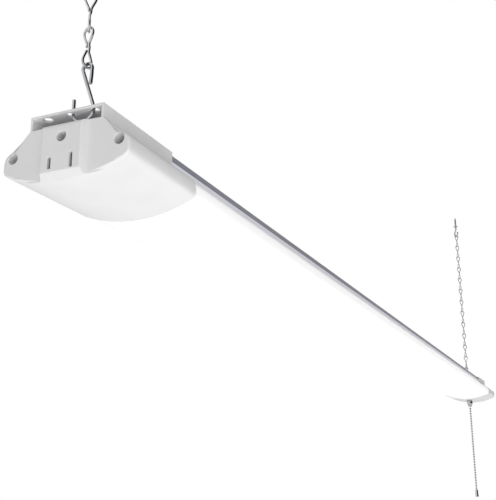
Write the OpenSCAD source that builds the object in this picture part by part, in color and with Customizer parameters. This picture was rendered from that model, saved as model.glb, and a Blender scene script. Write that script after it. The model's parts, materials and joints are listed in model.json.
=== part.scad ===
// Hanging shop light: a long LED fitting on two chains, with a wrap-around
// diffuser, a socket in one end cap and a pull switch in the other.
// Millimetres. Z is up, X runs along the lamp from the socket end, and the
// origin is on the ceiling, midway between the two ceiling hooks.

/* [Lamp] */
// Overall length over both end caps
lamp_len = 1219; // [700:1:2400]
// Width of the raised back of the end caps
hat_w = 43.5; // [40:0.5:60]
// Height of the raised back
hat_h = 7.5; // [7.5:0.5:14]
// Greatest width of the end caps
body_w = 74.2; // [70:0.2:110]
// Overall height of the end caps
body_h = 37.3; // [36:0.1:60]
// How far each end cap reaches along the lamp
hood_len = 68; // [62:1:120]

/* [End caps] */
// Wall of the hood
cap_wall = 1; // [0.8:0.1:1.6]
// Thickness of the end face
end_wall = 2.5; // [2:0.1:4]
// Thickness of the roof that the S-hooks pass through
roof = 1.2; // [1:0.1:2.5]
// Depth of the hanging pocket, from the end face
pocket_len = 22; // [14:1:30]
// Wall at each side of the hanging pocket
pocket_side = 1.3; // [1:0.1:3]
// Diameter of the three hanging eyes
eye_d = 4.8; // [4:0.1:6]
// Distance from one hanging eye to the next
eye_pitch = 14; // [13.6:0.1:15]
// Distance of the hanging eyes from the end face
eye_in = 4; // [3.6:0.1:8]
// Distance of the cap screws in from the widest point
screw_in = 5.8; // [5.6:0.1:8]
// Height of the cap screws above the lowest point
screw_up = 16.5; // [14:0.1:19]
// Thread diameter of the cap screws
screw_d = 3; // [2.5:0.1:3.4]
// How deep the cap screws' heads lie in the end face
head_recess = 8; // [2.6:0.1:12]

/* [Outlet] */
// Half the width of the raised outlet front
outlet_half = 11.9; // [11:0.1:16]
// How far the outlet front stands out of the end face
outlet_out = 3.3; // [2:0.1:6]
// Distance between the two blade slots
slot_pitch = 12.7; // [12.7:0.1:12.8]
// Depth of the blade slots' middle below the top of the lamp
slot_z = 28.2; // [26:0.1:30]
// Distance from the blade slots up to the earth hole
earth_up = 13.2; // [11.8:0.1:13.6]
// Diameter of the earth hole
earth_d = 5.6; // [4.9:0.1:6]

/* [Channel and diffuser] */
// Gap between parts that slip over each other
slip = 0.3; // [0.2:0.05:0.5]
// Thickness of the channel's sheet metal
sheet = 0.8; // [0.6:0.1:1.2]
// Depth of the channel's upper band, above the diffuser's lip
band_h = 4.5; // [3.5:0.1:6]
// Thickness of the diffuser
lens_wall = 1.3; // [1:0.1:2]
// How far each end cap covers the diffuser
lens_lap = 11; // [6:1:20]
// Number of light chips on each board
chips = 32; // [8:1:60]

/* [Chains] */
// Wire of the chain links
link_wire = 1.4; // [1.2:0.1:1.6]
// Radius of the links' loops, to the middle of the wire
link_r = 3.1; // [2.4:0.1:4]
// Distance from one link to the next
link_pitch = 21; // [16:0.5:30]
// Number of links in each chain
links = 12; // [3:1:40]
// Turn of the chains about their own length
chain_turn = 35; // [0:1:90]
// Wire of the S-hooks
s_wire = 1.9; // [1.5:0.1:2.2]
// Radius of an S-hook's upper loop, to the middle of the wire
s_upper_r = 2.8; // [2.6:0.1:5]
// Height of the upper loop's middle above the top of the lamp
s_height = 22.8; // [18:0.1:40]
// Wire of the ceiling hooks
ceiling_wire = 2.5; // [2:0.1:2.6]
// Radius of a ceiling hook's bend, to the middle of the wire
ceiling_r = 6; // [5:0.5:12]

/* [Pull switch] */
// Distance of the pull switch from the end face of its cap
switch_in = 45; // [30:1:50]
// Width of the switch's bell nut
bell_d = 9.5; // [8:0.1:14]
// Length of the bell nut
bell_len = 10.5; // [8:0.1:16]
// Diameter of the pull chain's beads
bead_d = 3.2; // [2.4:0.1:3.6]
// Distance from bead to bead
bead_pitch = 4.3; // [4.2:0.1:6]
// Number of beads below the switch
beads = 33; // [8:1:80]

/* [Hidden] */

// how finely round things are drawn
round_fine = 48;
wire_fine = 24;
// gap between pieces that rest on each other
seat = 0.3;
// how far a cutting shape runs past what it cuts
past = 1;

// ---- outline of the end caps, half of it as [across, up] ----
// widest point and start of the belly, measured up from the lowest point
shoulder_up = 18.7;
widest_up = 11.8;
belly_up = 7.2;
// how far the shoulder's end and the belly's start lie inside the widest point
shoulder_in = 2.1;
belly_in = 2.6;
foot = [hat_w / 2, -hat_h];
shoulder_end = [body_w / 2 - shoulder_in, shoulder_up - body_h];
widest = [body_w / 2, widest_up - body_h];
belly_start = [body_w / 2 - belly_in, belly_up - body_h];
belly_r = (pow(belly_start[0], 2) + pow(belly_up, 2)) / (2 * belly_up);
belly_angle = asin(belly_start[0] / belly_r);
belly_steps = 12;

// a point on the cubic curve with end points p[0] and p[3]
function bezier(p, t) =
    pow(1 - t, 3) * p[0] + 3 * pow(1 - t, 2) * t * p[1]
    + 3 * (1 - t) * t * t * p[2] + pow(t, 3) * p[3];
// its points, without the last one
function curve(p, steps) = [for (i = [0:steps - 1]) bezier(p, i / steps)];
function reversed(points) = [for (i = [len(points) - 1:-1:0]) points[i]];
function mirrored(points) = [for (p = reversed(points)) [-p[0], p[1]]];

half_line = concat(
    curve([foot, foot + [3.4, -3.8], shoulder_end + [-4, 2.4], shoulder_end], 6),
    curve([shoulder_end, shoulder_end + [1.5, -0.9], widest + [0, 4.1], widest], 5),
    curve([widest, widest + [0, -2.6], belly_start + [1.9, 1], belly_start], 5),
    [for (i = [0:belly_steps - 1])
        let (a = belly_angle * (1 - i / belly_steps))
        [belly_r * sin(a), belly_r * (1 - cos(a)) - body_h]]
);
// from the raised back's one foot round the belly to its other foot
body_line = concat(half_line, [[0, -body_h]], mirrored(half_line));

// unit vector into the lamp at point i of the line
function inward(points, i) =
    let (
        before = points[max(i - 1, 0)],
        after = points[min(i + 1, len(points) - 1)],
        along = (after - before) / norm(after - before)
    )
    [along[1], -along[0]];
// the line moved into the lamp by depth
function inset(points, depth) =
    [for (i = [0:len(points) - 1]) points[i] + depth * inward(points, i)];

// ---- places that follow from the sizes above ----
gap = cap_wall + slip;
channel_half = hat_w / 2 - gap;
channel_in = pocket_len + 2;
// the channel steps in below its upper band, for the diffuser's lip
lip_half = channel_half + 0.1;
lower_half = lip_half - lens_wall - slip;
channel_low = hat_h + 1.5;
lens_in = hood_len - lens_lap;
lens_top = band_h + slip;
tray_half = lower_half - sheet - slip;
tray_low = channel_low + 1.2;
tray_sheet = 0.8;
tray_in = lens_in - 6;
board_in = hood_len + 1;
board_y = 9;
board_w = 12;
board_t = 1;
board_len = lamp_len - 2 * board_in;
chip_size = [3, 3, 0.7];
pocket_floor = 1.5;
pocket_back = 1.5;
screw_y = body_w / 2 - screw_in;
screw_z = body_h - screw_up;
head_d = screw_d + 1.6;
recess_d = head_d + 1;
boss_d = recess_d + 2.4;
boss_len = pocket_len - 3;
bracket_in = boss_len + seat;
bracket_t = 1.2;
arm_in = tray_half - 3;
block_front = outlet_out - 2;
block_back = 17;
block_half = outlet_half - 1.2;
earth_z = slot_z - earth_up;
block_top = earth_z - earth_d / 2 - 1.6;
block_low = slot_z + 4.4;
// the contacts stand this far behind the end face
contact_in = 3;

// S-hook: its lower loop passes through two eyes, each leg near the eye's
// inner side, and the strip between them rests in its bottom
strip_half = (eye_pitch - eye_d) / 2;
leg_off = 0.45;
// the upper loop stands a little towards the outer eye
s_shift = 0.5;
s_lower_r = strip_half + leg_off + s_wire / 2;
s_seat_r = strip_half + leg_off - seat;
s_lower_z = sqrt(pow(s_seat_r, 2) - pow(strip_half, 2)) - roof;
s_rise = [-s_shift, s_height - s_lower_z];
s_lean = atan2(s_rise[0], s_rise[1]) + asin((s_upper_r + s_lower_r) / norm(s_rise));
s_tip_up = 6.4;
s_upper_tip_down = 7.6;
s_crown = s_height + s_upper_r;
// the hook hangs between the middle eye and the one to its side
s_hook_y = -eye_pitch / 2;
hang_y = s_hook_y - s_shift;

// a link's crowns stand link_half above and below its waist
link_rest = link_wire + seat;
link_half = (link_pitch + link_rest) / 2;
last_waist = s_crown - (s_wire + link_wire) / 2 - seat + link_half;
// the last link crosses the one above it at a slant, and so sits higher in it
last_room = 0.25;
first_waist = last_waist - last_room + (links - 1) * link_pitch;
first_crown = first_waist + link_half;
ceiling_hook_z = first_crown - (link_wire + ceiling_wire) / 2 - seat + ceiling_r;
// the ceiling hook's bend runs into its shank through a second arc
neck_r = 4;
neck_up = sqrt(pow(ceiling_r + neck_r, 2) - pow(neck_r, 2));
neck_angle = atan2(neck_up, neck_r);
// how far past level the ceiling hook's bend goes on
hook_tip = 15;
shank_below = 5;
collar_t = 1.2;
collar_d = 8;
shank_d = 3.8;
shank_len = 14;
point_len = 4;
// height of the ceiling above the top of the lamp
drop = ceiling_hook_z + neck_up + shank_below;
// the last link hangs turned, so that its lower loop crosses the S-hook
last_turn = -45;

// pull switch, measured down from the top of the lamp
bell_top = body_h + seat;
bell_low = bell_top + bell_len;
bell_mouth = bead_d + 1.6;
neck_d = 6.3;
neck_bore = bead_d + 1;
pull_d = 1.2;
bead_wire = 0.7;
first_bead = bell_low - 0.7;
last_bead = first_bead + beads * bead_pitch;
pull_bell_len = 12;
inlet_z = 22;
inlet_d = 12;
inlet_bore = 6.4;

// ---- helpers ----
// along the lamp from x0 to x1, from an outline drawn as [across, up]
module run(x0, x1) {
    translate([x0, 0, 0])
        rotate([90, 0, 90])
            linear_extrude(x1 - x0)
                children();
}

// across the lamp from y0 to y1, from an outline drawn as [along, up]
module run_across(y0, y1) {
    translate([0, y1, 0])
        rotate([90, 0, 0])
            linear_extrude(y1 - y0)
                children();
}

// a round bar between two points
module bar(p, q, d) {
    v = q - p;
    translate(p)
        rotate([0, acos(v[2] / norm(v)), atan2(v[1], v[0])])
            cylinder(h = norm(v), d = d, $fn = wire_fine);
}

// part of a round wire ring in the XY plane
module wire_arc(centre, r, from, to, d) {
    translate([centre[0], centre[1], 0])
        rotate([0, 0, from])
            rotate_extrude(angle = to - from, $fn = round_fine)
                translate([r, 0])
                    circle(d = d, $fn = wire_fine);
}

module wire_bar(p, q, d) {
    bar([p[0], p[1], 0], [q[0], q[1], 0], d);
}

// a hair thicker than the wire, where two stretches of it meet; the sphere's
// seam is turned to side, square to the wire
module wire_joint(p, side, d) {
    translate([p[0], p[1], 0])
        rotate([0, 0, side])
            sphere(d = 1.08 * d, $fn = wire_fine);
}

// stand something drawn in the XY plane up across the lamp, or along it
module upright_across() {
    rotate([90, 0, 90])
        children();
}

module upright_along() {
    rotate([90, 0, 0])
        children();
}

// the two ends of the lamp; x runs inwards from the end face
module near_end() {
    translate([-lamp_len / 2, 0, -drop])
        children();
}

module far_end() {
    translate([lamp_len / 2, 0, -drop])
        rotate([0, 0, 180])
            children();
}

// outline of the end cap, drawn in by depth
module cap_outline(depth) {
    top = [hat_w / 2 - depth, -depth];
    // where the raised back's side meets the inset shoulder
    corner = [hat_w / 2 - depth, -hat_h - 0.41 * depth];
    polygon(concat(
        [[-top[0], top[1]], top],
        depth > 0 ? [corner] : [],
        inset(body_line, depth),
        depth > 0 ? [[-corner[0], corner[1]]] : []
    ));
}

// ---- hanging parts ----
// one loop of a link in the XZ plane, from the waist at the origin upwards
module link_loop() {
    centre_up = link_half - link_r;
    a = asin(link_r / centre_up);
    leg = centre_up * cos(a);
    upright_along() {
        for (side = [-1, 1]) {
            wire_bar([0, 0], [side * leg * sin(a), leg * cos(a)], link_wire);
            wire_joint([side * leg * sin(a), leg * cos(a)], -side * a, link_wire);
        }
        wire_arc([0, centre_up], link_r, -a, 180 + a, link_wire);
    }
}

// a figure-of-eight link, its lower loop square to its upper one
module link() {
    rotate([0, 0, 90])
        link_loop();
    mirror([0, 0, 1])
        link_loop();
    sphere(d = 1.2 * link_wire, $fn = wire_fine);
}

// links from first to last, counted down from the ceiling
module chain(first, last) {
    for (i = [first:last]) {
        waist = i == links ? last_waist : first_waist - (i - 1) * link_pitch;
        translate([eye_in, hang_y, waist])
            rotate([0, 0, chain_turn + (i == links ? last_turn : 0)])
                link();
    }
}

module s_hook() {
    lower = [0, s_lower_z];
    upper = lower + s_rise;
    away = [cos(s_lean), -sin(s_lean)];
    translate([eye_in, s_hook_y, 0])
        upright_across() {
            wire_arc(lower, s_lower_r, 180 - s_lean, 360, s_wire);
            wire_joint(lower - s_lower_r * away, -s_lean, s_wire);
            wire_bar(lower - s_lower_r * away, upper + s_upper_r * away, s_wire);
            wire_joint(upper + s_upper_r * away, -s_lean, s_wire);
            wire_arc(upper, s_upper_r, -s_lean, 180, s_wire);
            wire_joint(upper - [s_upper_r, 0], 0, s_wire);
            wire_bar(upper - [s_upper_r, 0], upper - [s_upper_r - seat, s_upper_tip_down], s_wire);
            wire_joint(upper - [s_upper_r - seat, s_upper_tip_down], 0, s_wire);
            wire_joint(lower + [s_lower_r, 0], 0, s_wire);
            wire_bar(lower + [s_lower_r, 0], [s_lower_r, s_tip_up], s_wire);
            wire_joint([s_lower_r, s_tip_up], 0, s_wire);
        }
}

// screw hook, turned square to the first link
module ceiling_hook() {
    neck_meets = ceiling_r * [-cos(neck_angle), sin(neck_angle)];
    translate([eye_in, hang_y, 0]) {
        translate([0, 0, ceiling_hook_z])
            rotate([0, 0, chain_turn])
                upright_along() {
                    wire_arc([0, 0], ceiling_r, 180 - neck_angle, 360 + hook_tip, ceiling_wire);
                    wire_arc([-neck_r, neck_up], neck_r, -neck_angle, 0, ceiling_wire);
                    wire_joint(neck_meets, -neck_angle, ceiling_wire);
                    wire_joint([0, neck_up], 0, ceiling_wire);
                    wire_joint(ceiling_r * [cos(hook_tip), sin(hook_tip)], hook_tip, ceiling_wire);
                }
        translate([0, 0, ceiling_hook_z + neck_up])
            cylinder(h = shank_below, d = ceiling_wire, $fn = round_fine);
        translate([0, 0, drop - collar_t])
            cylinder(h = collar_t, d = collar_d, $fn = round_fine);
        translate([0, 0, drop])
            cylinder(h = shank_len, d = shank_d, $fn = round_fine);
        translate([0, 0, drop + shank_len])
            cylinder(h = point_len, d1 = shank_d, d2 = 0.6, $fn = round_fine);
    }
}

module near_ceiling_hook() {
    color("silver")
        near_end()
            ceiling_hook();
}

module far_ceiling_hook() {
    color("silver")
        far_end()
            ceiling_hook();
}

module near_top_link() {
    color("silver")
        near_end()
            chain(1, 1);
}

module far_top_link() {
    color("silver")
        far_end()
            chain(1, 1);
}

module near_chain() {
    color("silver")
        near_end()
            chain(2, links);
}

module far_chain() {
    color("silver")
        far_end()
            chain(2, links);
}

module near_s_hook() {
    color("gray")
        near_end()
            s_hook();
}

module far_s_hook() {
    color("gray")
        far_end()
            s_hook();
}

// ---- channel, diffuser and lights ----
// sheet-metal channel: a flat back, an upper band and a lower band that
// steps in behind the diffuser's lip
module channel() {
    top = gap;
    right = [
        [channel_half, -top],
        [channel_half, -band_h],
        [lower_half, -band_h],
        [lower_half, -channel_low],
        [lower_half - sheet, -channel_low],
        [lower_half - sheet, -band_h + sheet],
        [channel_half - sheet, -band_h + sheet],
        [channel_half - sheet, -top - sheet],
    ];
    color("slategray")
        translate([-lamp_len / 2, 0, -drop])
            run(channel_in, lamp_len - channel_in)
                polygon(concat(right, mirrored(right)));
}

// wrap-around diffuser, clipped over the channel's lower band
module diffuser() {
    outer = inset(body_line, gap);
    inner = inset(body_line, gap + lens_wall);
    lip_out = [lip_half, -lens_top];
    lip_in = [lip_half - lens_wall, -lens_top];
    lip_foot = [lip_half, outer[0][1] + 0.2];
    bend = [lip_half - lens_wall, inner[0][1] + 0.2];
    right_lip = [lip_out, lip_foot];
    right_bend = [bend, lip_in];
    color("white")
        translate([-lamp_len / 2, 0, -drop])
            run(lens_in, lamp_len - lens_in)
                polygon(concat(
                    right_lip, outer, mirrored(right_lip),
                    mirrored(right_bend), reversed(inner), right_bend
                ));
}

// folded tray inside the channel that carries the light boards
module led_tray() {
    right = [
        [tray_half, -tray_low],
        [tray_half, -band_h - sheet],
        [tray_half - tray_sheet, -band_h - sheet],
        [tray_half - tray_sheet, -tray_low + tray_sheet],
    ];
    color("gainsboro")
        translate([-lamp_len / 2, 0, -drop])
            run(tray_in, lamp_len - tray_in)
                polygon(concat(right, mirrored(right)));
}

module led_boards() {
    color("whitesmoke")
        for (side = [-1, 1])
            translate([-board_len / 2, side * board_y - board_w / 2, -drop - tray_low - board_t])
                cube([board_len, board_w, board_t]);
}

module led_chips() {
    pitch = board_len / chips;
    color("khaki")
        for (side = [-1, 1], i = [0:chips - 1])
            translate([(i + 0.5) * pitch - board_len / 2, side * board_y, -drop - tray_low - board_t])
                translate([-chip_size[0] / 2, -chip_size[1] / 2, -chip_size[2]])
                    cube(chip_size);
}

// flat driver: a circuit board on the tray, with its coil, capacitors and chip
module driver() {
    board = [120, 16, 1];
    top = -drop - tray_low + tray_sheet + board[2];
    color("seagreen") {
        translate([-board[0] / 2, -board[1] / 2, top - board[2]])
            cube(board);
        translate([-52, -6, top])
            cube([14, 12, 4]);
        for (x = [-30, -18])
            translate([x, 0, top + 2])
                rotate([0, 90, 0])
                    cylinder(h = 9, d = 4.2, $fn = round_fine);
        translate([6, -4, top])
            cube([10, 8, 1.6]);
        translate([30, -7, top])
            cube([18, 14, 3.6]);
    }
}

// ---- end caps ----
// moulded cap: a hood over the lamp's end with a hanging pocket in its back
module cap_shell() {
    floor_z = hat_h + pocket_floor;
    difference() {
        run(0, hood_len)
            cap_outline(0);
        difference() {
            run(end_wall, hood_len + past)
                cap_outline(cap_wall);
            translate([0, -hat_w / 2, -floor_z])
                cube([pocket_len + pocket_back, hat_w, floor_z]);
            for (side = [-1, 1])
                translate([0, side * screw_y, -screw_z])
                    rotate([0, 90, 0])
                        cylinder(h = boss_len, d = boss_d, $fn = round_fine);
        }
        translate([-past, pocket_side - hat_w / 2, -hat_h])
            cube([pocket_len + past, hat_w - 2 * pocket_side, hat_h - roof]);
        for (y = [-eye_pitch, 0, eye_pitch])
            translate([eye_in, y, -roof - past])
                cylinder(h = roof + 2 * past, d = eye_d, $fn = round_fine);
        for (side = [-1, 1])
            translate([0, side * screw_y, -screw_z])
                rotate([0, 90, 0]) {
                    translate([0, 0, -past])
                        cylinder(h = head_recess + past, d = recess_d, $fn = round_fine);
                    cylinder(h = boss_len + past, d = screw_d + 0.4, $fn = round_fine);
                }
    }
}

// raised outlet front: rounded over at the top, sloped back underneath, its
// side edges rounded, with hollow fillets where they meet the end face
module outlet_front() {
    edge_r = 1;
    fillet_w = 3.6;
    fillet_out = outlet_out - edge_r;
    steps = 5;
    side = concat(
        [for (i = [0:steps - 1])
            let (a = 90 * i / steps)
            [edge_r * (1 - cos(a)) - outlet_out, outlet_half - edge_r * (1 - sin(a))]],
        [for (i = [0:steps])
            let (a = 90 * i / steps)
            [fillet_out * (sin(a) - 1), outlet_half + fillet_w * (1 - cos(a))]]
    );
    plan = concat(side, [[past, outlet_half + fillet_w]]);
    low = body_h - 4.3;
    profile = concat(
        [[past, -hat_h]],
        [for (i = [0:steps]) let (a = 90 * i / steps)
            [-outlet_out * sin(a), -hat_h - 2.3 * (1 - cos(a))]],
        [[-outlet_out, -low], [0, -body_h], [past, -body_h]]
    );
    intersection() {
        translate([0, 0, -body_h - past])
            linear_extrude(body_h + past)
                polygon(concat(plan, [for (p = reversed(plan)) [p[0], -p[1]]]));
        run_across(-body_w / 2, body_w / 2)
            polygon(profile);
        run(-outlet_out - past, past)
            cap_outline(0);
    }
}

// the openings of the socket, cut from x0 to x1 and widened by extra
module socket_cuts(x0, x1, extra) {
    slot_w = 1.9 + 2 * extra;
    // the neutral slot is the taller one
    for (slot = [[1, 6.3], [-1, 7.9]]) {
        h = slot[1] + 2 * extra;
        translate([x0, slot[0] * slot_pitch / 2 - slot_w / 2, -slot_z - h / 2])
            cube([x1 - x0, slot_w, h]);
    }
    // the earth hole is round towards the slots and flat on top
    r = earth_d / 2 + extra;
    run(x0, x1)
        translate([0, -earth_z])
            intersection() {
                circle(r = r, $fn = round_fine);
                translate([-r, -r - 0.6])
                    square(2 * r);
            }
}

module near_end_cap() {
    color("lightgray")
        near_end()
            difference() {
                union() {
                    cap_shell();
                    outlet_front();
                }
                translate([-block_front, -block_half - slip, -block_low - slip])
                    cube([
                        end_wall + block_front + past,
                        2 * (block_half + slip),
                        block_low - block_top + 2 * slip
                    ]);
                socket_cuts(-outlet_out - past, 0, 0);
            }
}

module far_end_cap() {
    color("lightgray")
        far_end()
            difference() {
                cap_shell();
                translate([switch_in, 0, -body_h - past])
                    cylinder(h = 8, d = neck_d + 0.6, $fn = round_fine);
                translate([-past, 0, -inlet_z])
                    rotate([0, 90, 0])
                        cylinder(h = end_wall + 2 * past, d = inlet_d, $fn = round_fine);
            }
}

// steel bracket behind the bosses: the cap screws bite in its ears, and its
// two arms run under the light tray
module end_bracket() {
    floor_z = hat_h + pocket_floor + slip;
    difference() {
        union() {
            intersection() {
                run(bracket_in, bracket_in + bracket_t)
                    cap_outline(cap_wall + slip);
                translate([0, -body_w / 2, -screw_z - boss_d / 2])
                    cube([bracket_in + past + bracket_t, body_w, screw_z + boss_d / 2 - floor_z]);
            }
            for (side = [-1, 1])
                translate([bracket_in, side > 0 ? arm_in : -tray_half, -tray_low - bracket_t])
                    cube([tray_in + 14 - bracket_in, tray_half - arm_in, bracket_t]);
        }
        translate([0, -12, -body_h])
            cube([bracket_in + 2 * bracket_t, 24, body_h - floor_z - 2.5]);
        for (side = [-1, 1])
            translate([0, side * screw_y, -screw_z])
                rotate([0, 90, 0])
                    cylinder(h = bracket_in + 2 * bracket_t, d = screw_d + 0.1, $fn = round_fine);
    }
}

module near_end_bracket() {
    color("darkgray")
        near_end()
            end_bracket();
}

module far_end_bracket() {
    color("darkgray")
        far_end()
            end_bracket();
}

// two pan-head screws with crossed recesses
module cap_screws() {
    head_t = 1.8;
    for (side = [-1, 1])
        translate([head_recess, side * screw_y, -screw_z])
            rotate([0, 90, 0])
                difference() {
                    union() {
                        translate([0, 0, -head_t])
                            cylinder(h = head_t, d1 = head_d - 1, d2 = head_d, $fn = round_fine);
                        cylinder(h = boss_len + 6 - head_recess, d = screw_d, $fn = round_fine);
                    }
                    for (turn = [0, 90])
                        rotate([0, 0, turn])
                            translate([-1.4, -0.3, -head_t - past])
                                cube([2.8, 0.6, past + 1]);
                }
}

module near_cap_screws() {
    color("dimgray")
        near_end()
            cap_screws();
}

module far_cap_screws() {
    color("dimgray")
        far_end()
            cap_screws();
}

// ---- socket and wiring ----
// insulating block behind the outlet front, with a chamber for each contact
module socket_block() {
    chamber = block_front + block_back - 2;
    color("ivory")
        near_end()
            difference() {
                translate([slip - block_front, -block_half, -block_low])
                    cube([block_back + block_front - slip, 2 * block_half, block_low - block_top]);
                for (side = [-1, 1])
                    translate([-block_front, side * slot_pitch / 2 - 2.4, -slot_z - 4.2])
                        cube([chamber, 4.8, 8.4]);
                translate([-block_front, 0, -earth_z])
                    rotate([0, 90, 0]) {
                        cylinder(h = chamber, d = earth_d + 0.2, $fn = round_fine);
                        translate([0, 0, block_front + contact_in - seat])
                            cylinder(h = block_back - 2 - contact_in + seat, d = earth_d + 2, $fn = round_fine);
                    }
            }
}

// a folded brass contact: two leaves that grip a blade, joined at the back
module blade_contact(side, h) {
    leaf = 0.6;
    blade = 1.6;
    back = block_back - 2 - slip;
    translate([0, side * slot_pitch / 2, -slot_z - h / 2]) {
        for (s = [-1, 1])
            translate([contact_in, s > 0 ? blade / 2 : -blade / 2 - leaf, 0])
                cube([back - contact_in, leaf, h]);
        translate([back - leaf, -blade / 2 - leaf, 0])
            cube([leaf, blade + 2 * leaf, h]);
    }
}

module hot_contact() {
    color("goldenrod")
        near_end()
            blade_contact(1, 5.6);
}

module neutral_contact() {
    color("goldenrod")
        near_end()
            blade_contact(-1, 7.2);
}

module earth_contact() {
    back = block_back - 2 - slip;
    color("goldenrod")
        near_end()
            translate([contact_in, 0, -earth_z])
                rotate([0, 90, 0])
                    difference() {
                        cylinder(h = back - contact_in, d = earth_d + 1, $fn = round_fine);
                        translate([0, 0, -past])
                            cylinder(h = back - contact_in, d = earth_d - 0.2, $fn = round_fine);
                    }
}

// three insulated wires from the socket, through the channel, to the
// terminals; each as [across and down at the socket, across in the channel]
wire_d = 1.8;
wire_pitch = 2.3;
terminal = [8, 9, 8];
terminal_in = bracket_in + bracket_t + 3.5;
terminal_top = tray_low + bracket_t;
// the terminals sit under the inner edge of the bracket's arm
terminal_y = arm_in - 3.55;
wire_first = wire_pitch - terminal_y;
wire_rows = [
    [slot_pitch / 2, slot_z, wire_first],
    [0, earth_z, wire_first - wire_pitch],
    [-slot_pitch / 2, slot_z, wire_first - 2 * wire_pitch],
];
wire_z = 6;
wire_stop = terminal_in + terminal[0] + 0.8;

module through_wires() {
    color("black")
        near_end()
            for (row = wire_rows) {
                route = [
                    [block_back + slip, row[0], -row[1]],
                    [block_back + 12, row[0], -row[1]],
                    [tray_in - 2, row[2], -wire_z],
                    [lamp_len - tray_in + 2, row[2], -wire_z],
                    [lamp_len - wire_stop, row[2], -terminal_top - terminal[2] / 2],
                ];
                for (i = [0:len(route) - 2])
                    bar(route[i], route[i + 1], wire_d);
                for (i = [1:len(route) - 2])
                    translate(route[i])
                        sphere(d = 1.08 * wire_d, $fn = wire_fine);
            }
}

module terminal_block() {
    color("white")
        far_end()
            translate([terminal_in, terminal_y - terminal[1] / 2, -terminal_top - terminal[2]])
                difference() {
                    cube(terminal);
                    for (i = [-1:1])
                        translate([terminal[0] / 2, terminal[1] / 2 + i * wire_pitch, -past])
                            cylinder(h = terminal[2] / 2 + past, d = 1.6, $fn = wire_fine);
                }
}

// ---- power inlet and pull switch ----
// moulded bushing that the power cord enters through
module inlet_bushing() {
    color("dimgray")
        far_end()
            translate([0, 0, -inlet_z])
                rotate([0, 90, 0])
                    difference() {
                        union() {
                            translate([0, 0, -2 - seat])
                                cylinder(h = 2, d = inlet_d + 4, $fn = round_fine);
                            translate([0, 0, -1])
                                cylinder(h = end_wall + 2.5, d = inlet_d - 0.4, $fn = round_fine);
                            translate([0, 0, end_wall + seat])
                                cylinder(h = 1.5, d = inlet_d + 2, $fn = round_fine);
                        }
                        translate([0, 0, -3])
                            cylinder(h = end_wall + 8, d = inlet_bore, $fn = round_fine);
                    }
}

module switch_body() {
    can_low = body_h - cap_wall - 2 * seat;
    can_d = 13;
    can_h = 16;
    color("dimgray")
        far_end()
            translate([switch_in, 0, 0])
                difference() {
                    union() {
                        translate([0, 0, -can_low])
                            cylinder(h = can_h, d = can_d, $fn = round_fine);
                        translate([0, 0, -bell_top - 3.6])
                            cylinder(h = bell_top + 3.6 - can_low + past, d = neck_d, $fn = round_fine);
                    }
                    translate([0, 0, -bell_top - 4])
                        cylinder(h = bell_top + 4 - can_low + 12, d = neck_bore, $fn = round_fine);
                }
}

// chromed nut under the cap, drawn in to a mouth that the pull chain leaves by
module switch_bell() {
    straight = 5.2;
    // drawn as [radius, up] from the mouth
    outline = [
        [bell_mouth / 2, 0], [bell_mouth / 2 + 0.7, 0], [bell_d / 2 - 0.7, bell_len - straight - 1],
        [bell_d / 2 - 0.2, bell_len - straight], [bell_d / 2, bell_len - straight + 0.4],
        [bell_d / 2, bell_len - 0.3], [bell_d / 2 - 0.3, bell_len],
        [neck_d / 2 + 0.05, bell_len], [neck_d / 2 + 0.05, bell_len - 4.4],
        [bell_mouth / 2, bell_len - 5],
    ];
    color("silver")
        far_end()
            translate([switch_in, 0, -bell_low])
                rotate_extrude($fn = round_fine)
                    polygon(outline);
}

// rod inside the switch, ending in the first bead at the bell's mouth
module pull_rod() {
    rod_top = body_h - cap_wall - 12;
    color("silver")
        far_end()
            translate([switch_in, 0, -first_bead]) {
                cylinder(h = first_bead - rod_top, d = pull_d, $fn = wire_fine);
                sphere(d = bead_d, $fn = wire_fine);
            }
}

// beads from first to last on their wire; the wire starts just under the bead before
module bead_run(first, last) {
    translate([switch_in, 0, 0]) {
        for (i = [first:last])
            translate([0, 0, -first_bead - i * bead_pitch])
                sphere(d = bead_d, $fn = wire_fine);
        top = first_bead + (first - 1) * bead_pitch + bead_d / 2 + seat;
        translate([0, 0, -first_bead - last * bead_pitch])
            cylinder(h = first_bead + last * bead_pitch - top, d = bead_wire, $fn = wire_fine);
    }
}

module pull_neck() {
    color("silver")
        far_end()
            bead_run(1, 1);
}

module pull_chain() {
    color("silver")
        far_end()
            bead_run(2, beads);
}

// small bell that hangs on the last bead
module pull_bell() {
    roof_up = pull_bell_len - 0.5;
    inner = bead_d / 2 + seat;
    eye = bead_wire / 2 + seat;
    // drawn as [radius, up] from the rim
    outline = [
        [inner + 0.9, 0], [inner + 1.1, 0.5], [inner + 1.05, 1.3], [inner + 0.7, 3.2],
        [inner + 0.5, roof_up - 1.6], [inner + 0.2, roof_up], [eye + 0.6, pull_bell_len],
        [eye, pull_bell_len], [eye, roof_up], [inner - 0.6, roof_up],
        [inner, roof_up - 0.8], [inner, 4], [inner + 0.6, 0.8],
    ];
    color("silver")
        far_end()
            translate([switch_in, 0, -last_bead + bead_d / 2 + seat - roof_up])
                rotate_extrude($fn = round_fine)
                    polygon(outline);
}

near_ceiling_hook();
far_ceiling_hook();
near_top_link();
far_top_link();
near_chain();
far_chain();
near_s_hook();
far_s_hook();
channel();
diffuser();
led_tray();
led_boards();
led_chips();
driver();
near_end_cap();
near_end_bracket();
near_cap_screws();
socket_block();
hot_contact();
neutral_contact();
earth_contact();
through_wires();
terminal_block();
far_end_cap();
far_end_bracket();
far_cap_screws();
inlet_bushing();
switch_body();
switch_bell();
pull_rod();
pull_neck();
pull_chain();
pull_bell();
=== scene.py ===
"""Looks of a hanging shop light: moulded end caps, a lit wrap-around diffuser on
a grey metal channel, bright jack chains and a bead-chain pull."""
import json
import math

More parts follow.
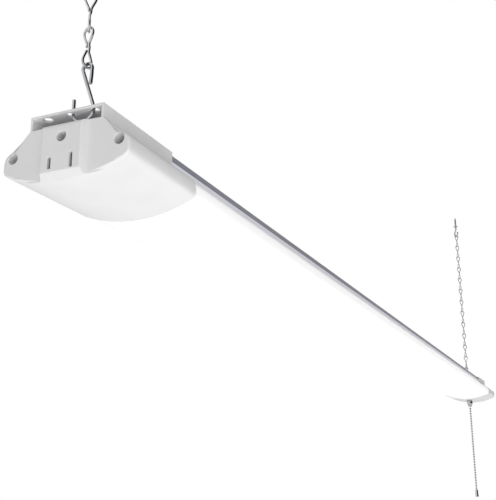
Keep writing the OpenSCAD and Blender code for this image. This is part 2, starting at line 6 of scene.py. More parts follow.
import bmesh
import bpy
from mathutils import Matrix, Vector
from mathutils.geometry import interpolate_bezier

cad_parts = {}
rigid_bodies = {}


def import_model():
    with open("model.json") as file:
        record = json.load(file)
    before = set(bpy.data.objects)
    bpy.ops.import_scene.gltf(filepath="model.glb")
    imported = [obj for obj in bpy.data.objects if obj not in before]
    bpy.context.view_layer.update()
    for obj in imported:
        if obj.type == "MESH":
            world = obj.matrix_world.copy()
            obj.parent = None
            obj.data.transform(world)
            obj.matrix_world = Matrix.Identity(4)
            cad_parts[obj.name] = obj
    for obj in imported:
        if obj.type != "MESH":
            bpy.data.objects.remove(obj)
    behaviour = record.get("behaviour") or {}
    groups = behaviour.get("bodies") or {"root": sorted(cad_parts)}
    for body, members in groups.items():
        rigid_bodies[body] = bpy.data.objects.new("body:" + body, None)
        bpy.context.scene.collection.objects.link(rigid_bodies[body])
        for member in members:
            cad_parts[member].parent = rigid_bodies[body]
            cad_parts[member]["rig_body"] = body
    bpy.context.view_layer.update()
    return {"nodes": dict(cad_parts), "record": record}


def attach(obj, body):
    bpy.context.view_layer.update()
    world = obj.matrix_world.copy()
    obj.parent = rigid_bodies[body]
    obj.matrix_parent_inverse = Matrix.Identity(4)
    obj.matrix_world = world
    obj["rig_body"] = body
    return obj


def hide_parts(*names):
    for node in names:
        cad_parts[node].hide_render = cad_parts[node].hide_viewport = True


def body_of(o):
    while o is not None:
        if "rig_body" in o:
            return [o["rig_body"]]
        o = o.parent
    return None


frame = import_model()

# sizes in millimetres. Heights are measured from the lamp's top: up on the hooks and chains, and down in the
# pull switch and where a name ends in DOWN
MM = 0.001
DROP = 295.015             # the lamp's top, below the ceiling
LAMP_LEN = 1219
BODY_H = 37.3
HAT_H = 7.5                # the raised back of the end caps
EYE_IN = 4                 # the hanging eyes, in from the end face
EYE_PITCH = 14
SCREW_Y = 31.3
SCREW_DOWN = 20.8
SCREW_HOLE_R = 3.5         # a circle that takes in a screw's recess
INLET_DOWN = 22
INLET_HOLE_R = 7           # and one that takes in the inlet
SLOT_Y = 6.35              # the outlet's two slots, either side of the middle
OUTLET_ROUND_DOWN = 10.4   # just below the outlet front's rounded top
OUTLET_SLOPE_DOWN = 31.6   # just above its sloped lower edge
LIP_DOWN = 8.0             # lower edge of the lip with which the diffuser grips the channel
LIP_FADE = 0.6
BOARD_PARTS_DOWN = 8.2     # what stands higher than this on the driver is a part on its board
LINK_WIRE = 1.4
LINK_R = 3.1
LINK_PITCH = 21
LINK_HALF = 11.35          # from a link's waist to its crowns
LINKS = 12
FIRST_WAIST = 265.75
LAST_WAIST = 35.0
CHAIN_TURN = 35            # degrees about the chains' own length
LAST_TURN = -45            # and what the last link is turned beyond that
S_WIRE = 1.9
S_LOWER_R = 6.0
S_LOWER_UP = -0.0157       # the middle of the lower loop
S_UPPER_R = 2.7
S_HEIGHT = 22.9            # the middle of the upper loop
S_SHIFT = 1.1              # how far the upper loop stands aside
S_TIP_UP = 7.2             # the lower loop's tip
S_FREE_LEG = 9             # length of the upper loop's free leg
S_CLOSE = 0.5              # how far that leg closes in
HANG_Y = -7.5              # the chains, across the lamp
CEILING_WIRE = 2.5
CEILING_R = 6
CEILING_HOOK_UP = 280.85
HOOK_TIP = 15              # degrees past level at which the ceiling hook's bend ends
NECK_R = 4
THREAD_PITCH = 1.6
THREAD_TURNS = 9
POINT_UP = 13              # above the ceiling, where the hook's shank starts to run to a point
POINT_LEN = 5
SWITCH_IN = 45
BELL_TOP = 37.6
BELL_LEN = 10.5
STEM_TOP = BODY_H - 13     # up inside the switch
STEM_D = 1.2
BEAD_D = 3.2
BEAD_PITCH = 4.3
BEAD_COUNT = 33            # beads after the first
BEAD_WIRE = 0.7
FIRST_BEAD = 47.4
PULL_BELL_LEN = 12
BELL_ROOF = 0.5            # thickness of the small bell's roof
BEAD_ROOM = 0.3            # between that roof and the last bead under it

AT = {
    "near": Matrix.Translation((-LAMP_LEN / 2, 0, -DROP)),
    "far": Matrix.Translation((LAMP_LEN / 2, 0, -DROP)) @ Matrix.Rotation(math.pi, 4, "Z"),
}


# ---------------------------------------------------------------- materials
def linear(hex_colour):
    """An sRGB hex colour as the linear RGBA that Blender's sockets take."""
    out = []
    for i in (1, 3, 5):
        c = int(hex_colour[i:i + 2], 16) / 255
        out.append(c / 12.92 if c <= 0.04045 else ((c + 0.055) / 1.055) ** 2.4)
    return (*out, 1.0)


def add(tree, kind, settings=None, **links):
    """Adds a node. settings go on its properties or sockets, and links join other nodes' outputs to its
    inputs, which are named, or numbered as i0, i6."""
    node = tree.nodes.new(kind)
    for key, value in (settings or {}).items():
        if isinstance(key, int) or key in node.inputs:
            node.inputs[key].default_value = value
        else:
            setattr(node, key, value)
    for key, source in links.items():
        numbered = key[0] == "i" and key[1:].isdigit()
        tree.links.new(source, node.inputs[int(key[1:]) if numbered else key.replace("_", " ")])
    return node


def material(name, **shader):
    """A material with one Principled shader, and the object's own coordinates to draw on it by."""
    mat = bpy.data.materials.new(name)
    mat.use_nodes = True
    tree = mat.node_tree
    bsdf = tree.nodes["Principled BSDF"]
    for key, value in shader.items():
        bsdf.inputs[key.replace("_", " ")].default_value = value
    where = add(tree, "ShaderNodeTexCoord").outputs["Object"]
    return mat, tree, bsdf, where


def finish(name, dark, pale, patch, rough, spread, size, depth, run=(1, 1, 1), **shader):
    """A finish in two shades that drift over patches of patch mm, with roughness from rough to rough +
    spread, and fine relief of size mm and depth mm; run stretches both along the direction of working."""
    mat, tree, bsdf, where = material(name, **shader)
    along = add(tree, "ShaderNodeMapping", {"Scale": run}, Vector=where).outputs["Vector"]
    drift = add(tree, "ShaderNodeTexNoise", {"Scale": 1 / (patch * MM), "Detail": 3.0},
                Vector=along).outputs["Fac"]
    level = add(tree, "ShaderNodeMapRange", {"From Min": 0.3, "From Max": 0.7}, Value=drift)
    tint = add(tree, "ShaderNodeMix", {"data_type": "RGBA", 6: linear(dark), 7: linear(pale)},
               i0=level.outputs["Result"])
    tree.links.new(tint.outputs[2], bsdf.inputs["Base Color"])
    worn = add(tree, "ShaderNodeMapRange", {"To Min": rough, "To Max": rough + spread}, Value=drift)
    tree.links.new(worn.outputs["Result"], bsdf.inputs["Roughness"])
    fine = add(tree, "ShaderNodeTexNoise", {"Scale": 1 / (size * MM), "Detail": 2.0}, Vector=along)
    bump = add(tree, "ShaderNodeBump", {"Distance": depth * MM}, Height=fine.outputs["Fac"])
    tree.links.new(bump.outputs["Normal"], bsdf.inputs["Normal"])
    return mat, tree, bsdf, tint.outputs[2]


def opal_acrylic():
    """Extruded opal acrylic, lit from inside: it glows evenly below the channel and glows less along the lip
    that grips the metal, where a greyer lilac base colour is painted shade."""
    mat, tree, bsdf, where = material("opal_acrylic", Roughness=0.3, IOR=1.49)
    height = add(tree, "ShaderNodeSeparateXYZ", Vector=where).outputs["Z"]
    edge = -(DROP + LIP_DOWN) * MM
    lit = add(tree, "ShaderNodeMapRange", {"From Min": edge, "From Max": edge - LIP_FADE * MM},
              Value=height).outputs["Result"]
    # painted shade: the lip, which the light inside doesn't reach, gets a greyer lilac base colour than the
    # lit lens
    tint = add(tree, "ShaderNodeMix", {"data_type": "RGBA", 6: linear("#e8e7f1"), 7: linear("#fafafa")},
               i0=lit)
    tree.links.new(tint.outputs[2], bsdf.inputs["Base Color"])
    # drawing lines of the die, 1.5 mm apart, far longer than they are wide
    drawn = add(tree, "ShaderNodeMapping", {"Scale": (0.01, 1, 1)}, Vector=where).outputs["Vector"]
    lines = add(tree, "ShaderNodeTexNoise", {"Scale": 1 / (1.5 * MM), "Detail": 1.0}, Vector=drawn)
    bump = add(tree, "ShaderNodeBump", {"Distance": 0.004 * MM}, Height=lines.outputs["Fac"])
    tree.links.new(bump.outputs["Normal"], bsdf.inputs["Normal"])
    power = add(tree, "ShaderNodeMapRange", {"To Min": 0.12, "To Max": 0.3}, Value=lit)
    bsdf.inputs["Emission Color"].default_value = linear("#ffffff")
    tree.links.new(power.outputs["Result"], bsdf.inputs["Emission Strength"])
    return mat


def populated_board():
    """Glass-epoxy board: green solder mask, with dark parts standing on it."""
    mat, tree, bsdf, colour = finish("green_circuit_board", "#285c3a", "#357a4e", 3, 0.35, 0.1, 0.4, 0.01,
                                     IOR=1.5)
    height = add(tree, "ShaderNodeSeparateXYZ",
                 Vector=add(tree, "ShaderNodeTexCoord").outputs["Object"]).outputs["Z"]
    part = add(tree, "ShaderNodeMath", {"operation": "GREATER_THAN", 1: -(DROP + BOARD_PARTS_DOWN) * MM},
               i0=height)
    tint = add(tree, "ShaderNodeMix", {"data_type": "RGBA", 7: linear("#2a2b2e")},
               i0=part.outputs["Value"], i6=colour)
    tree.links.new(tint.outputs[2], bsdf.inputs["Base Color"])
    return mat


# ABS from a spark-eroded mould: satin white, with a very fine even grain and faint flow clouds. The grit is
# about 0.15 mm; drawn at 0.5 mm so that it shows at all
ABS = finish("moulded_abs", "#eeeeef", "#f3f3f3", 24, 0.4, 0.06, 0.5, 0.008, IOR=1.53)[0]
ACRYLIC = opal_acrylic()
# roll-formed steel in satin grey paint: cool grey with a lilac cast, drawn out lengthways by the rolls
CHANNEL = finish("satin_grey_paint", "#a6a6b1", "#b4b4c0", 2.0, 0.36, 0.1, 0.8, 0.004, (0.01, 1, 1),
                 Metallic=0.3)[0]
# bright-plated drawn steel wire: near-mirror, with a soft bloom that comes and goes
CHAIN = finish("bright_zinc_wire", "#b9babd", "#d6d7d9", 4, 0.1, 0.06, 0.5, 0.0015, Metallic=1.0)[0]
# the S-hooks' thicker wire, plated alike, and a little duller where it was bent
BENT = finish("bent_zinc_wire", "#aaacaf", "#cacbce", 5, 0.13, 0.07, 0.5, 0.002, Metallic=1.0)[0]
# thicker zinc-plated screw-hook wire, satin
HOOK = finish("zinc_hook_wire", "#a3a5a8", "#c0c2c5", 4, 0.24, 0.1, 0.6, 0.006, Metallic=1.0)[0]
# nickel-plated brass beads, a warm polished grey
BEADS = finish("nickel_plated_beads", "#8e8c88", "#b4b2ae", 3, 0.14, 0.08, 0.4, 0.0015, Metallic=1.0)[0]
# chromed turned brass, with fine rings left by the lathe
TURNED = finish("chromed_brass", "#aeafb2", "#c8c9cc", 3, 0.07, 0.05, 0.35, 0.002, (0.1, 0.1, 1),
                Metallic=1.0)[0]
# galvanised strip: frosty spangle in soft patches
STEEL = finish("galvanised_strip", "#9fa2a6", "#c0c3c6", 5, 0.32, 0.12, 0.6, 0.006, Metallic=1.0)[0]
# dark zinc screws, oily
SCREW = finish("dark_zinc_screw", "#4a4c50", "#63656a", 1.2, 0.32, 0.12, 0.3, 0.006, Metallic=1.0)[0]
# rolled brass strip, brushed lengthways and a little tarnished
BRASS = finish("rolled_brass", "#a8843c", "#cfa853", 2, 0.26, 0.14, 0.3, 0.005, (0.1, 1, 1),
               Metallic=1.0)[0]
# white powder coat, with its orange peel
TRAY = finish("white_powder_coat", "#ebeded", "#f4f5f5", 9, 0.4, 0.1, 1.2, 0.02, IOR=1.5)[0]
# white solder mask over copper, whose tracks show as a faint relief
MASK = finish("white_solder_mask", "#ecece4", "#f6f6f1", 6, 0.35, 0.08, 2.0, 0.02, (0.2, 1, 1),
              IOR=1.5)[0]
# silicone with yellow phosphor, set like jelly
PHOSPHOR = finish("led_phosphor", "#ead36c", "#f6e796", 1.0, 0.25, 0.1, 0.4, 0.01, IOR=1.41)[0]
CIRCUIT = populated_board()
# grey-white urea moulding, glossy and even
UREA = finish("grey_white_urea", "#eff0f1", "#f6f7f8", 7, 0.28, 0.08, 0.5, 0.006, IOR=1.55)[0]
# natural nylon, milky and satin
NYLON = finish("natural_nylon", "#dcdbd3", "#e9e8e2", 5, 0.42, 0.1, 0.5, 0.012, IOR=1.53)[0]
# soft PVC sleeve, black, with a dull bloom
SLEEVE = finish("black_pvc_sleeve", "#141415", "#29292b", 4, 0.38, 0.14, 0.5, 0.015, (0.2, 1, 1),
                IOR=1.53)[0]
# moulded rubber, dusty dark grey
RUBBER = finish("dark_rubber", "#3c3d3f", "#505154", 3, 0.6, 0.15, 0.4, 0.02, IOR=1.52)[0]
# black phenolic, with brownish flow streaks
PHENOLIC = finish("black_phenolic", "#1b1a1a", "#2c2724", 4, 0.3, 0.12, 0.4, 0.008, IOR=1.6)[0]

FINISH = {
    "hook_steel": HOOK, "chain_steel": CHAIN, "bead_steel": BEADS, "channel_paint": CHANNEL,
    "lens": ACRYLIC, "tray_metal": TRAY, "board_white": MASK, "chip": PHOSPHOR, "driver_board": CIRCUIT,
    "cap_plastic": ABS, "bracket_steel": STEEL, "screw_steel": SCREW, "socket_plastic": UREA,
    "brass": BRASS, "wire_cover": SLEEVE, "terminal_plastic": NYLON, "bushing": RUBBER,
    "switch_plastic": PHENOLIC,
}
SLOT = {part["node"]: part["material_slot"] for part in frame["record"]["subparts"]}
for name, node in frame["nodes"].items():
    node.data.materials.clear()
    node.data.materials.append(FINISH[SLOT[name]])


# ---------------------------------------------------------------- making pieces
def piece(name, shape, look, *nodes, sharp=35):
    """Makes a piece of a shape in metres: it rides on the body of the nodes that it stands for, is
    shaded smooth over bends gentler than sharp degrees, and takes the look."""
    for face in shape.faces:
        face.smooth = True
    for edge in shape.edges:
        edge.smooth = len(edge.link_faces) == 2 and edge.calc_face_angle() < math.radians(sharp)
    mesh = bpy.data.meshes.new(name)
    shape.to_mesh(mesh)
    shape.free()
    mesh.materials.append(look)
    made = bpy.data.objects.new(name, mesh)
    bpy.context.collection.objects.link(made)
    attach(made, body_of(frame["nodes"][nodes[0]])[0])
    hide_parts(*nodes)
    return made


def settle(shape, where):
    """Turns the shape's faces outwards, and takes it from millimetres at where to metres in the frame."""
    bmesh.ops.recalc_face_normals(shape, faces=shape.faces)
    bmesh.ops.transform(shape, matrix=Matrix.Scale(MM, 4) @ where, verts=shape.verts)


def arc(centre, r, start, end, steps):
    """Points on an arc, from start to end in degrees."""
    turns = [math.radians(start + (end - start) * i / steps) for i in range(steps + 1)]
    return [Vector((centre[0] + r * math.cos(t), centre[1] + r * math.sin(t))) for t in turns]


def smooth_line(keys, steps):
    """A smooth line through the key points."""
    keys = [Vector(key) for key in keys]
    runs = [(b - a).normalized() for a, b in zip(keys, keys[1:])]
    way = [(a + b).normalized() for a, b in zip(runs[:1] + runs, runs + runs[-1:])]
    line = []
    for i in range(len(keys) - 1):
        reach = (keys[i + 1] - keys[i]).length / 3
        line += interpolate_bezier(keys[i], keys[i] + reach * way[i], keys[i + 1] - reach * way[i + 1],
                                   keys[i + 1], steps + 1)[:-1]
    return line + [keys[-1]]


def wire(shape, line, d, sides=16):
    """Round wire drawn along a line of points, its two cut ends eased."""
    line = [Vector(point) for point in line]
    runs = [(b - a).normalized() for a, b in zip(line, line[1:])]
    way = [(a + b).normalized() for a, b in zip(runs[:1] + runs, runs + runs[-1:])]
    turn = Vector((0, 0, 1)).rotation_difference(way[0]).to_matrix().to_4x4()
    ring = bmesh.ops.create_circle(shape, cap_ends=True, radius=d / 2, segments=sides,
                                   matrix=Matrix.Translation(line[0]) @ turn)
    first = last = ring["verts"][0].link_faces[0]
    for i in range(1, len(line)):
        grown = bmesh.ops.extrude_face_region(shape, geom=[last])["geom"]
        last = next(g for g in grown if isinstance(g, bmesh.types.BMFace))
        swing = way[i - 1].rotation_difference(way[i]).to_matrix().to_4x4()
        step = Matrix.Translation(line[i]) @ swing @ Matrix.Translation(-line[i - 1])
        bmesh.ops.transform(shape, matrix=step, verts=last.verts)
    bmesh.ops.bevel(shape, geom=list(first.edges) + list(last.edges), offset=0.22 * d, segments=3,
                    profile=0.5, affect="EDGES", material=-1)


def turned(shape, outline, centre=(0, 0, 0), steps=32):
    """Turns an outline of (radius, up) about the upright line through centre; an outline that starts on
    the line stays open, any other is closed."""
    spots = [shape.verts.new((centre[0] + r, centre[1], centre[2] + up)) for r, up in outline]
    ends = zip(spots, spots[1:]) if outline[0][0] == 0 else zip(spots, spots[1:] + spots[:1])
    edges = [shape.edges.new(pair) for pair in ends]
    bmesh.ops.spin(shape, geom=spots + edges, cent=centre, axis=(0, 0, 1), angle=2 * math.pi,
                   steps=steps, use_merge=True)
    bmesh.ops.remove_doubles(shape, verts=shape.verts, dist=1e-4)


# ---------------------------------------------------------------- jack chains
def link_shape():
    """One jack-chain link: a figure of eight bent from one wire, its upper loop standing across and its
    lower loop along. One run goes through the waist, and the wire's two cut ends meet beside it."""
    up = LINK_HALF - LINK_R
    lean = math.asin(LINK_R / up)
    leg = up * math.cos(lean)
    half = 0.52 * LINK_WIRE
    foot = half / math.tan(lean)
    side = [Vector((half, foot + 0.15)), 0.6 * leg * Vector((math.sin(lean), math.cos(lean)))]
    loop = side + arc((0, up), LINK_R, -math.degrees(lean), 180 + math.degrees(lean), 10)
    loop += [Vector((-p[0], p[1])) for p in reversed(side)]
    mid = half * math.sqrt(0.5)
    keys = [(-mid, mid, -0.1)] + [(0, p[0], p[1]) for p in loop]
    keys += [(mid, -mid, 0)] + [(p[0], 0, -p[1]) for p in loop]
    shape = bmesh.new()
    wire(shape, smooth_line(keys, 3), LINK_WIRE, 12)
    bmesh.ops.recalc_face_normals(shape, faces=shape.faces)
    mesh = bpy.data.meshes.new("link_pattern")
    shape.to_mesh(mesh)
    shape.free()
    return mesh


def chain(end, name, first, last, pattern):
    """Links from first to last, counted down from the ceiling."""
    shape = bmesh.new()
    for i in range(first, last + 1):
        waist = LAST_WAIST if i == LINKS else FIRST_WAIST - (i - 1) * LINK_PITCH
        turn = math.radians(CHAIN_TURN + (LAST_TURN if i == LINKS else 0))
        before = len(shape.verts)
        shape.from_mesh(pattern)
        shape.verts.ensure_lookup_table()
        hang = Matrix.Translation((EYE_IN, HANG_Y, waist)) @ Matrix.Rotation(turn, 4, "Z")
        bmesh.ops.transform(shape, matrix=hang, verts=shape.verts[before:])
    bmesh.ops.transform(shape, matrix=Matrix.Scale(MM, 4) @ AT[end], verts=shape.verts)
    piece(f"{end}_{name}_links", shape, CHAIN, f"{end}_{name}")


def s_hook(end):
    """S-hook of one wire: a wide lower loop through two eyes, and a small upper loop drawn in to a drop
    shape."""
    rise = Vector((-S_SHIFT, S_HEIGHT - S_LOWER_UP))
    lean = math.atan2(rise[0], rise[1]) + math.asin((S_UPPER_R + S_LOWER_R) / rise.length)
    tilt = math.degrees(lean)
    low, high = (0, S_LOWER_UP), (-S_SHIFT, S_HEIGHT)
    lower = arc(low, S_LOWER_R, 360, 180 - tilt, 24)
    upper = arc(high, S_UPPER_R, -tilt, 180, 16)
    line = [Vector((S_LOWER_R, S_TIP_UP * (1 - i / 4))) for i in range(4)] + lower
    line += [lower[-1].lerp(upper[0], i / 6) for i in range(1, 6)] + upper
    # the free leg closes in towards the shank on a long soft bend
    line += [Vector((high[0] - S_UPPER_R + S_CLOSE * (i / 6) ** 2, high[1] - S_FREE_LEG * i / 6))
             for i in range(1, 7)]
    shape = bmesh.new()
    wire(shape, [(EYE_IN, -EYE_PITCH / 2 + p[0], p[1]) for p in line], S_WIRE, 20)
    settle(shape, AT[end])
    piece(f"{end}_s_hook_wire", shape, BENT, f"{end}_s_hook")


def ceiling_hook(end):
    """Screw hook: a round bend and its neck in one wire, a collar, and a cut thread up in the ceiling."""
    neck_up = math.sqrt((CEILING_R + NECK_R) ** 2 - NECK_R ** 2)
    swing = math.degrees(math.atan2(neck_up, NECK_R))
    line = [Vector((0, neck_up + 4.2)), Vector((0, neck_up + 2))]
    line += arc((-NECK_R, neck_up), NECK_R, 0, -swing, 8)[:-1]
    line += arc((0, 0), CEILING_R, 180 - swing, 360 + HOOK_TIP, 30)
    turn = Matrix.Rotation(math.radians(CHAIN_TURN), 4, "Z")
    hang = Matrix.Translation((EYE_IN, HANG_Y, CEILING_HOOK_UP)) @ turn
    shape = bmesh.new()
    wire(shape, [hang @ Vector((p[0], 0, p[1])) for p in line], CEILING_WIRE, 20)
    centre = (EYE_IN, HANG_Y, DROP)
    # collar, domed underneath, and the shank's core up to its point
    turned(shape, [(0, -1.2), (2.6, -1.2), (3.5, -0.95), (3.95, -0.5), (4, -0.15), (3.9, 0), (1.9, 0),
                   (1.45, 0.8), (1.45, 13.6), (0.3, 17.8), (0, 18)], centre, 36)
    # the thread: a ridge wound round the core
    per_turn = 24
    ridge = [shape.verts.new((centre[0] + r, centre[1], centre[2] + up))
             for r, up in ((1.3, 1.3), (1.9, 1.75), (1.3, 2.2))]
    rim = [shape.edges.new(pair) for pair in zip(ridge, ridge[1:] + ridge[:1])]
    shape.faces.new(ridge)
    wound = bmesh.ops.spin(shape, geom=ridge + rim, cent=centre, axis=(0, 0, 1),
                           angle=2 * math.pi * THREAD_TURNS, steps=per_turn * THREAD_TURNS,
                           dvec=(0, 0, THREAD_PITCH / per_turn))
    shape.faces.new([g for g in wound["geom_last"] if isinstance(g, bmesh.types.BMVert)])
    # core and thread run to a point together
    for vert in shape.verts:
        over = vert.co.z - DROP - POINT_UP
        if over > 0:
            shrink = 1 - 0.8 * min(over / POINT_LEN, 1)
            vert.co.x = centre[0] + (vert.co.x - centre[0]) * shrink
            vert.co.y = centre[1] + (vert.co.y - centre[1]) * shrink
    settle(shape, AT[end])
    piece(f"{end}_screw_hook", shape, HOOK, f"{end}_ceiling_hook", sharp=50)


# ---------------------------------------------------------------- pull switch
def bead(shape, centre):
    """A bead: a ball rolled from strip, with a small bore through it for the wire."""
    r = BEAD_D / 2
    outline = [(p[0], p[1]) for p in arc((0, 0), r, -70, 70, 12)]
    turned(shape, outline + [(0.42, 1.42), (0.42, -1.42)], centre, 24)


def beads(name, first, last, *nodes):
    """Beads from first to last, each with the pin that joins it to the bead above; bead 0 has the stem that
    comes down out of the switch instead."""
    shape = bmesh.new()
    for i in range(first, last + 1):
        up = -FIRST_BEAD - i * BEAD_PITCH
        bead(shape, (SWITCH_IN, 0, up))
        if i > 0:
            wire(shape, [(SWITCH_IN, 0, up + rise) for rise in (0, 2, 2.4)], BEAD_WIRE, 10)
    if first == 0:
        wire(shape, [(SWITCH_IN, 0, -down) for down in (STEM_TOP, 40, FIRST_BEAD)], STEM_D, 12)
    settle(shape, AT["far"])
    piece(name, shape, BEADS, *nodes)


def bell_nut():
    """Turned nut under the cap: straight, then drawn in to the mouth, its corners broken."""
    low = -BELL_TOP - BELL_LEN
    outline = [(2.4, 0.15), (2.55, 0), (2.95, 0), (3.15, 0.2), (3.6, 1.6), (4.05, 3.0), (4.4, 4.2),
               (4.62, 5.0), (4.72, 5.4), (4.75, 5.8), (4.75, 10.0), (4.65, 10.35), (4.4, 10.5), (3.2, 10.5),
               (3.2, 6.1), (2.4, 5.5)]
    shape = bmesh.new()
    turned(shape, [(r, up + low) for r, up in outline], (SWITCH_IN, 0, 0), 48)
    settle(shape, AT["far"])
    piece("bell_nut", shape, TURNED, "switch_bell", sharp=28)


def pull_bell():
    """Small bell on the last bead, turned thin, with a beaded rim."""
    last = -FIRST_BEAD - BEAD_COUNT * BEAD_PITCH
    # the last bead sits under the bell's roof
    low = last + BEAD_D / 2 + BEAD_ROOM + BELL_ROOF - PULL_BELL_LEN
    outline = [(2.8, 0), (2.95, 0.15), (3.0, 0.5), (2.97, 1.0), (2.85, 1.4), (2.72, 2.0), (2.6, 3.2),
               (2.48, 5.5), (2.4, 8.2), (2.36, 9.9), (2.25, 10.7), (1.9, 11.4), (1.25, 11.9),
               (0.65, PULL_BELL_LEN), (0.65, 11.5), (1.3, 11.4), (1.75, 11.0), (1.9, 10.6), (1.9, 4),
               (2.2, 2.4), (2.5, 0.8)]
    shape = bmesh.new()
    turned(shape, [(r, up + low) for r, up in outline], (SWITCH_IN, 0, 0), 36)
    settle(shape, AT["far"])
    piece("pull_chain_bell", shape, TURNED, "pull_bell", sharp=32)


# ---------------------------------------------------------------- moulded and formed pieces
def eased(node, width, ease, cuts=(), segments=2, sharp=32):
    """Stands for a CAD node in the same shape, with its corners eased as its making leaves them.
    ease(edge) says how much of width mm a corner gets, from 0 to 1. cuts are planes, as (point in mm,
    normal), that divide the faces before they are eased."""
    shape = bmesh.new()
    shape.from_mesh(frame["nodes"][node].data)
    same = 0.002 * MM
    bmesh.ops.remove_doubles(shape, verts=shape.verts, dist=same)
    for point, normal in cuts:
        cut = bmesh.ops.bisect_plane(shape, geom=shape.verts[:] + shape.edges[:] + shape.faces[:],
                                     dist=same, plane_co=Vector(point) * MM, plane_no=normal)
        for edge in cut["geom_cut"]:
            if isinstance(edge, bmesh.types.BMEdge):
                edge.seam = True
    bmesh.ops.dissolve_limit(shape, angle_limit=math.radians(0.5), verts=shape.verts, edges=shape.edges,
                             delimit={"SEAM"})
    share = shape.edges.layers.float.new("bevel_weight_edge")
    for edge in shape.edges:
        if len(edge.link_faces) == 2 and edge.calc_face_angle() > math.radians(sharp):
            edge[share] = ease(edge)
    made = piece(f"{node}_moulding", shape, FINISH[SLOT[node]], node, sharp=sharp)
    soften = made.modifiers.new("eased", "BEVEL")
    soften.limit_method = "WEIGHT"
    soften.width = width * MM
    soften.segments = segments
    soften.use_clamp_overlap = False
    even = made.modifiers.new("flats_stay_flat", "WEIGHTED_NORMAL")
    even.keep_sharp = True
    return made


def cap_corner(edge):
    """A full ease round the hood's end face; a quarter of it on every other corner, such as those of the
    raised back and of the holes for the screws and the inlet."""
    for point in (v.co / MM for v in edge.verts):
        from_end = abs(LAMP_LEN / 2 - abs(point.x))
        down = -DROP - point.z
        screw = math.hypot(abs(point.y) - SCREW_Y, down - SCREW_DOWN)
        inlet = math.hypot(point.y, down - INLET_DOWN)
        if from_end > 0.02 or down < HAT_H + 0.3 or screw < SCREW_HOLE_R or inlet < INLET_HOLE_R:
            return 0.25
    return 1.0


one_link = link_shape()
for side_of in ("near", "far"):
    chain(side_of, "top_link", 1, 1, one_link)
    chain(side_of, "chain", 2, LINKS, one_link)
    s_hook(side_of)
    ceiling_hook(side_of)
beads("pull_rod_and_bead", 0, 0, "pull_rod")
beads("pull_neck_bead", 1, 1, "pull_neck")
beads("pull_beads", 2, BEAD_COUNT, "pull_chain")
bell_nut()
pull_bell()
# through the middle of the holes, so that no face is left with a hole in it, and across the outlet's long
# curved sides near their ends, so that the turn at an end doesn't shade their whole length
cap_cuts = [((0, y, 0), (0, 1, 0)) for y in (0, SLOT_Y, -SLOT_Y, EYE_PITCH, -EYE_PITCH, SCREW_Y, -SCREW_Y)]
cap_cuts += [((0, 0, -DROP - down), (0, 0, 1)) for down in (OUTLET_ROUND_DOWN, OUTLET_SLOPE_DOWN)]
for cap in ("near_end_cap", "far_end_cap"):
    eased(cap, 1.0, cap_corner, cap_cuts)


# ---------------------------------------------------------------- studio
def camera():
    """The photograph's camera, fitted to the lamp's straight edges: below the lamp, off its socket end."""
    focal, frame_height = 812.13, 500      # pixels
    place = (-0.90819, -0.230537, -DROP * MM - 0.1783)
    right = Vector((0.406766, -0.913528, -0.002720))
    up = Vector((-0.252678, -0.115371, 0.960647))
    ahead = Vector((0.877892, 0.390072, 0.277758))
    cam = bpy.data.cameras.new("camera")
    cam.sensor_fit = "VERTICAL"
    cam.sensor_height = 36
    cam.lens = cam.sensor_height * focal / frame_height
    cam.clip_end = 100
    obj = bpy.data.objects.new("camera", cam)
    bpy.context.collection.objects.link(obj)
    turn = Matrix((right, up, -ahead)).transposed().to_4x4()
    obj.matrix_world = Matrix.Translation(place) @ turn
    bpy.context.scene.camera = obj


def lamp(name, place, aim, size, power):
    """A soft box of the studio, in metres and watts, which gloss doesn't see."""
    light = bpy.data.lights.new(name, "AREA")
    light.shape = "RECTANGLE"
    light.size, light.size_y = size
    light.energy = power
    obj = bpy.data.objects.new(name, light)
    bpy.context.collection.objects.link(obj)
    obj.location = place
    obj.rotation_euler = (Vector(aim) - Vector(place)).to_track_quat("-Z", "Y").to_euler()
    obj.visible_camera = False
    obj.visible_glossy = False


def screen(name, size, where, mat):
    """A flat sheet of the studio."""
    shape = bmesh.new()
    bmesh.ops.create_grid(shape, x_segments=1, y_segments=1, size=0.5)
    bmesh.ops.scale(shape, vec=(size[0], size[1], 1), verts=shape.verts)
    bmesh.ops.transform(shape, matrix=where, verts=shape.verts)
    mesh = bpy.data.meshes.new(name)
    shape.to_mesh(mesh)
    shape.free()
    mesh.materials.append(mat)
    obj = bpy.data.objects.new(name, mesh)
    bpy.context.collection.objects.link(obj)
    return obj


def either(tree, a, b):
    """1 where either of two masks is 1."""
    return add(tree, "ShaderNodeMath", {"operation": "MAXIMUM"}, i0=a, i1=b).outputs["Value"]


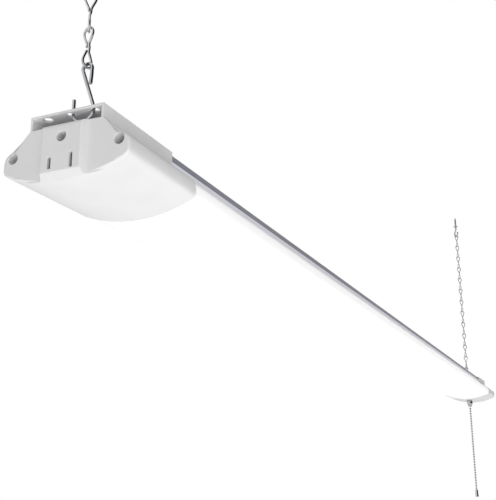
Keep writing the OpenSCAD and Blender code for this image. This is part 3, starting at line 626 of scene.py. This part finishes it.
def studio():
    """A white room that lights the lamp softly, a pale floor, two black cards and three soft boxes."""
    world = bpy.data.worlds.new("studio")
    bpy.context.scene.world = world
    world.use_nodes = True
    tree = world.node_tree
    back = tree.nodes["Background"]
    back.inputs["Color"].default_value = linear("#ffffff")
    path = add(tree, "ShaderNodeLightPath").outputs
    seen = either(tree, either(tree, path["Is Camera Ray"], path["Is Transmission Ray"]),
                  path["Is Glossy Ray"])
    level = add(tree, "ShaderNodeMapRange", {"To Min": 0.44, "To Max": 1.0}, Value=seen)
    tree.links.new(level.outputs["Result"], back.inputs["Strength"])

    mat, tree, bsdf = material("pale_floor", Base_Color=linear("#f4f4f4"), Roughness=0.9)[:3]
    path = add(tree, "ShaderNodeLightPath").outputs
    lift = add(tree, "ShaderNodeMath", {"operation": "MULTIPLY", 1: 0.5},
               i0=either(tree, path["Is Camera Ray"], path["Is Glossy Ray"]))
    bsdf.inputs["Emission Color"].default_value = linear("#ffffff")
    tree.links.new(lift.outputs["Value"], bsdf.inputs["Emission Strength"])
    screen("floor", (60, 60), Matrix.Translation((0, 0, -2.2)), mat)

    # black cards beside and beyond the lamp, which only gloss sees: they give the wires their dark flank
    # and draw the edge of the white diffuser against the white room
    mat = material("black_card", Base_Color=linear("#0a0a0a"), Roughness=1.0)[0]
    upright = Matrix.Rotation(math.pi / 2, 4, "X")
    across = Matrix.Rotation(math.pi / 2, 4, "Z") @ upright
    beside = screen("card_beside", (12.0, 6.0), Matrix.Translation((1.8, -1.8, 2.5)) @ upright, mat)
    beyond = screen("card_beyond", (3.8, 3.0), Matrix.Translation((3.0, 1.9, 1.35)) @ across, mat)
    for card in (beside, beyond):
        card.visible_camera = card.visible_diffuse = card.visible_shadow = False

    lamp("from_below", (-0.8, -0.7, -2.0), (-0.2, 0, -0.3), (3.6, 3.2), 58)
    lamp("from_the_left", (-0.6, 2.2, -1.5), (-0.2, 0, -0.3), (2.0, 2.0), 7)
    lamp("from_the_end", (-2.6, -1.4, -0.6), (-0.6, 0, -0.3), (1.6, 1.6), 2.2)
    bpy.context.scene.view_settings.view_transform = "Standard"


camera()
studio()
